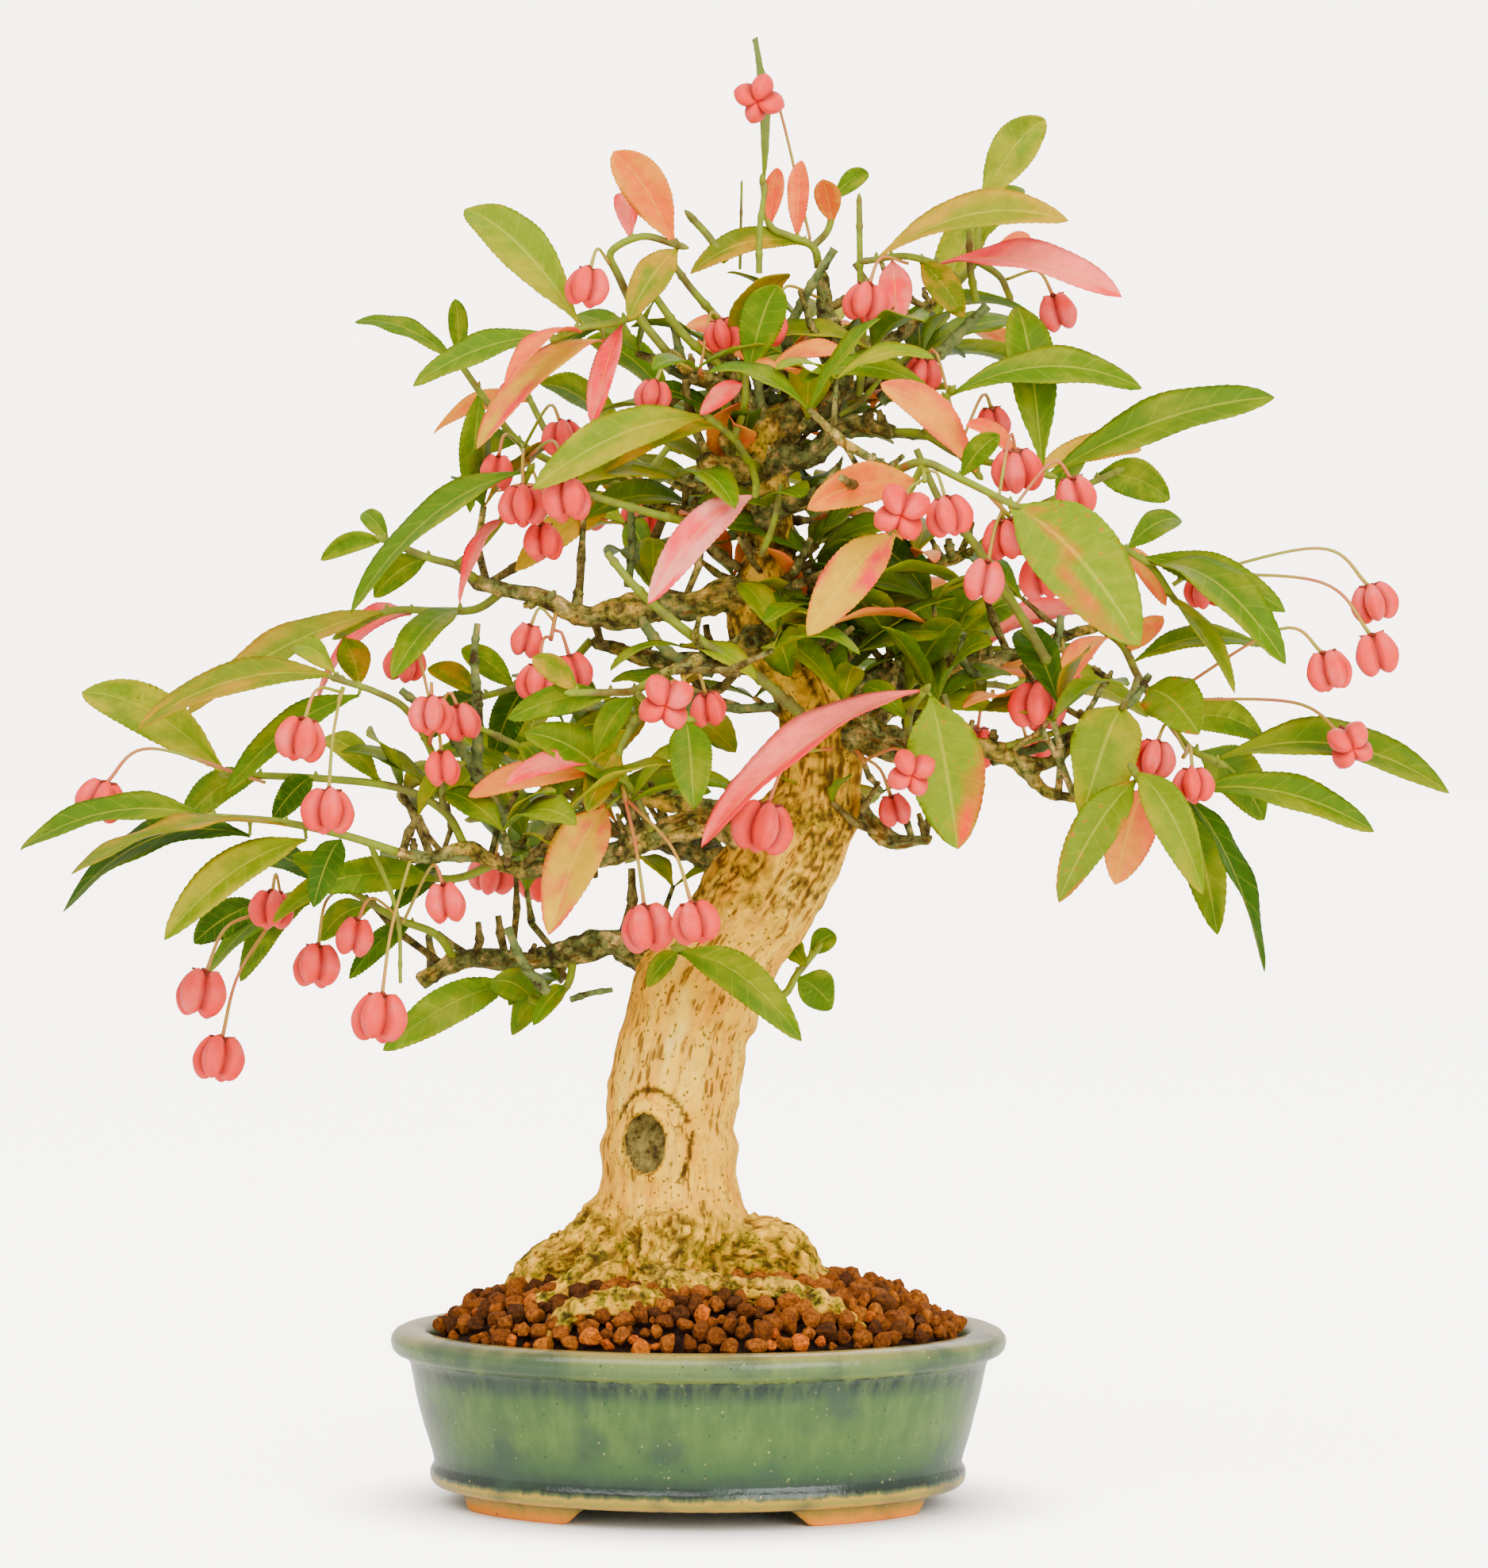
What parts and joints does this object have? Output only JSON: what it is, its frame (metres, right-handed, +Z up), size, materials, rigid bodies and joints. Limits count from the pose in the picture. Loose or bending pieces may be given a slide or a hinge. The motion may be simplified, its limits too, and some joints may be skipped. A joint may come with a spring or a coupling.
{
  "type": "bonsai tree",
  "caption": "Spindle tree bonsai with a flared, curving trunk, spreading leafy branches and hanging four-lobed capsules, planted in a low oval glazed pot on feet.",
  "frame": {"origin": "middle of the whole tree's and pot's outline seen from above, at the level of the feet's undersides", "axes": "+Z up along the tree's height; the pictured front faces -Y; +X to the right of that front view, along the pot's length"},
  "size_m": [0.353, 0.1922, 0.3716],
  "materials": {
    "glazed_stoneware": "gloss",
    "soil": "matte",
    "bark": "matte",
    "leaf": "satin",
    "capsule": "satin"
  },
  "bodies": {
    "root": {"pot": "glazed_stoneware", "soil": "soil", "wood": "bark", "shoot_apex": "leaf", "shoot_apex_right": "leaf", "shoot_back_left": "leaf", "shoot_back_low": "leaf", "shoot_back_right": "leaf", "shoot_back_top": "leaf", "shoot_centre_left": "leaf", "shoot_front_centre": "leaf", "shoot_front_right": "leaf", "shoot_left_lime": "leaf", "shoot_left_upper": "leaf", "shoot_low_left_tip": "leaf", "shoot_low_left_under": "leaf", "shoot_low_stub_shoot": "leaf", "shoot_low_under_leaves": "leaf", "shoot_mid_left_dark": "leaf", "shoot_right_behind": "leaf", "shoot_right_front": "leaf", "shoot_right_low": "leaf", "shoot_right_mid": "leaf", "shoot_right_upper": "leaf", "shoot_trunk_behind": "leaf", "shoot_trunk_front": "leaf", "shoot_upper_left_long": "leaf", "shoot_upper_left_spread": "leaf", "shoot_upper_left_top": "leaf", "shoot_upper_right_top": "leaf", "shoot_yellow_front": "leaf", "fruit_apex_single": "capsule", "fruit_back_left": "capsule", "fruit_back_right": "capsule", "fruit_back_top": "capsule", "fruit_cluster_left": "capsule", "fruit_cluster_right": "capsule", "fruit_far_left": "capsule", "fruit_far_right": "capsule", "fruit_front_centre": "capsule", "fruit_front_pair": "capsule", "fruit_inner_apex": "capsule", "fruit_inner_left": "capsule", "fruit_inner_top": "capsule", "fruit_left": "capsule", "fruit_left_four": "capsule", "fruit_long_stalk": "capsule", "fruit_low_left": "capsule", "fruit_low_left_inner": "capsule", "fruit_middle_left": "capsule", "fruit_right_chain": "capsule", "fruit_right_front": "capsule", "fruit_right_pair": "capsule", "fruit_right_stub": "capsule", "fruit_right_top": "capsule", "fruit_top": "capsule", "fruit_trunk_front": "capsule", "fruit_trunk_pair": "capsule", "fruit_upper_left": "capsule", "fruit_upper_right": "capsule"}
  },
  "joints": []
}
